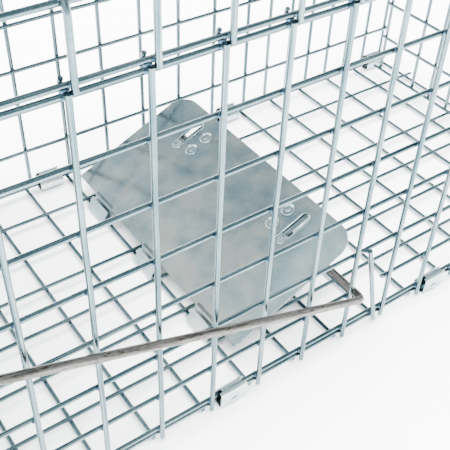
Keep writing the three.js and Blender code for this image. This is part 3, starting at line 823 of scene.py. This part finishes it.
rims = {"grow": 0.7 * mm, "sink": 0.12 * mm, "thick": 0.8 * mm, "sides": 8, "dimpleBack": 1.2 * mm,
        "dimple": 2.5 * mm, "dimpleLift": 0.05 * mm, "dimpleThick": 1.0 * mm, "dish": 1.1 * mm,
        "dishSink": 0.3 * mm, "dishThick": 1.5 * mm}


# the pressed rims round both slots, and the dimple at the end of each; their lighter sheet paints a highlight on
# these real raised rims
def makeSlotRims():
    guide = WireGuide()
    top = treadle["under"] + treadle["sheet"]
    u = treadle["slotU"] - treadle["slotLength"] / 2 - rims["dimpleBack"]
    for sign in (-1, 1):
        y = sign * treadle["slotY"]
        for line, z, thick in [(slotOutline(y, rims["grow"]), top - rims["sink"], rims["thick"]),
                               (arc(u, y, rims["dimple"], 0, 340, 17), top + rims["dimpleLift"], rims["dimpleThick"]),
                               (arc(u, y, rims["dish"], 0, 330, 11), top - rims["dishSink"], rims["dishThick"])]:
            guide.wire([(*point, z) for point in line], thick, True)
    return guide.build("slotRims", brightSheet, rims["sides"])


def makeTreadle():
    shape = bmesh.new()
    for index, part in enumerate([makePlate(), makeTabs(), makeSlotRims()]):
        first = len(shape.faces)
        shape.from_mesh(part.data)
        bpy.data.objects.remove(part)
        shape.faces.ensure_lookup_table()
        for face in shape.faces[first:]:
            face.material_index = index
    bmesh.ops.transform(shape, matrix=treadleTurn, verts=shape.verts)
    # the tabs take the lifted copy of the sheet, as painted light on their lit faces
    joined = smoothMesh(shape, "treadleSheet", zincSheet, dullSheet, brightSheet)
    joined.set_sharp_from_angle(angle=math.radians(35))
    place(addObject("treadleSheet", joined), "treadle", "zinc_sheet", "treadle_plate")


# a round clinch button: the profile's radius and height in millimetres, with a raised rim and a dished middle
button = {"sides": 32, "sink": 0.04 * mm, "crown": 0.62,
          "profile": [(0.45, 0.55), (0.85, 0.2), (1.4, -0.12), (2.1, -0.14), (2.6, 0.2), (2.95, 0.72), (3.3, 0.95),
                      (3.6, 0.8), (3.78, 0.4), (3.8, 0.02), (1.66, 0), (1.66, -1.72), (2.7, -1.76), (2.6, -2.05),
                      (1.2, -2.25)]}


def makeButton(index, u, y):
    shape = bmesh.new()
    top = treadle["under"] + treadle["sheet"] - button["sink"]
    count = button["sides"]
    turns = [2 * math.pi * k / count for k in range(count)]
    rings = [[shape.verts.new((u + r * mm * math.cos(t), y + r * mm * math.sin(t), top + z * mm)) for t in turns]
             for r, z in button["profile"]]
    crown = shape.verts.new((u, y, top + button["crown"] * mm))
    for k in range(count):
        shape.faces.new([crown, rings[0][k], rings[0][(k + 1) % count]])
    for a, b in zip(rings, rings[1:]):
        for k in range(count):
            shape.faces.new([a[k], b[k], b[(k + 1) % count], a[(k + 1) % count]])
    shape.faces.new(rings[-1][::-1])
    bmesh.ops.recalc_face_normals(shape, faces=shape.faces)
    bmesh.ops.transform(shape, matrix=treadleTurn, verts=shape.verts)
    name = f"clinchButton{index}"
    mesh = smoothMesh(shape, name, brightSheet)
    mesh.set_sharp_from_angle(angle=math.radians(60))
    place(addObject(name, mesh), "treadle", "zinc_sheet", f"bracket_rivet_{index}")


makeTreadle()
places = [(u, sign * treadle["rivetY"]) for sign in (-1, 1) for u in treadle["rivetUs"]]
for index, (u, y) in enumerate(places, 1):
    makeButton(index, u, y)
print("treadle made")


studio = {"floorReach": 6, "floorColor": (0.93, 0.935, 0.94, 1), "camera": (-0.0905, -0.2545, 0.2935),
          "turn": (48.35, -2.0, -35.27), "lens": 63.1, "room": 4.0, "screenColor": (0.6, 0.63, 0.635, 1),
          "roomStops": [(0.0, (1, 1, 1)), (0.2, (0.85, 0.87, 0.88)), (0.4, (0.34, 0.37, 0.385)),
                        (0.6, (0.31, 0.36, 0.38)), (1.0, (0.28, 0.32, 0.335))],
          "lights": [{"name": "overhead", "spot": (0.1, 0.2, 2.2), "size": 3.2, "power": 980, "mirrored": False},
                     {"name": "front", "spot": (-1.2, -1.6, 1.5), "size": 1.6, "power": 20, "mirrored": True}]}


def makeGround():
    material, maker = startFinish("studioFloor")
    surface = maker.node("ShaderNodeBsdfPrincipled", None, {"Base Color": studio["floorColor"], "Roughness": 0.9})
    maker.node("ShaderNodeOutputMaterial", None, {"Surface": surface})
    shape = bmesh.new()
    bmesh.ops.create_grid(shape, x_segments=1, y_segments=1, size=studio["floorReach"])
    addObject("studioFloor", smoothMesh(shape, "studioFloor", material))


def makeLights():
    for item in studio["lights"]:
        light = bpy.data.lights.new(item["name"], "AREA")
        light.shape = "SQUARE"
        light.size = item["size"]
        light.energy = item["power"]
        lamp = addObject(item["name"], light)
        lamp.location = item["spot"]
        lamp.rotation_euler = (-Vector(item["spot"])).to_track_quat("-Z", "Y").to_euler()
        lamp.visible_glossy = item["mirrored"]


# a room that is bright below and grey above, with a bright screen beyond the door end
def makeRoom():
    world = bpy.data.worlds.new("studioRoom")
    world.use_nodes = True
    world.node_tree.nodes.clear()
    maker = NodeMaker(world.node_tree)
    direction = maker.node("ShaderNodeTexCoord", output="Generated")
    height = maker.node("ShaderNodeSeparateXYZ", None, {"Vector": direction}, 2)
    across = maker.node("ShaderNodeSeparateXYZ", None, {"Vector": direction}, 0)
    screen = remap(maker, across, -0.17, -0.25, 0, 1) * remap(maker, height, 0.42, 0.62, 0, 1)
    color = mixColor(maker, screen, ramp(maker, height, studio["roomStops"]), studio["screenColor"])
    light = maker.node("ShaderNodeBackground", None, {"Color": color, "Strength": studio["room"]})
    maker.node("ShaderNodeOutputWorld", None, {"Surface": light})
    bpy.context.scene.world = world


def makeCamera():
    camera = bpy.data.cameras.new("camera")
    camera.lens = studio["lens"]
    camera.sensor_width = 36
    camera.clip_start = 0.01
    viewer = addObject("camera", camera)
    viewer.location = studio["camera"]
    viewer.rotation_euler = [math.radians(a) for a in studio["turn"]]
    bpy.context.scene.camera = viewer


makeGround()
makeLights()
makeRoom()
makeCamera()
print("studio made")
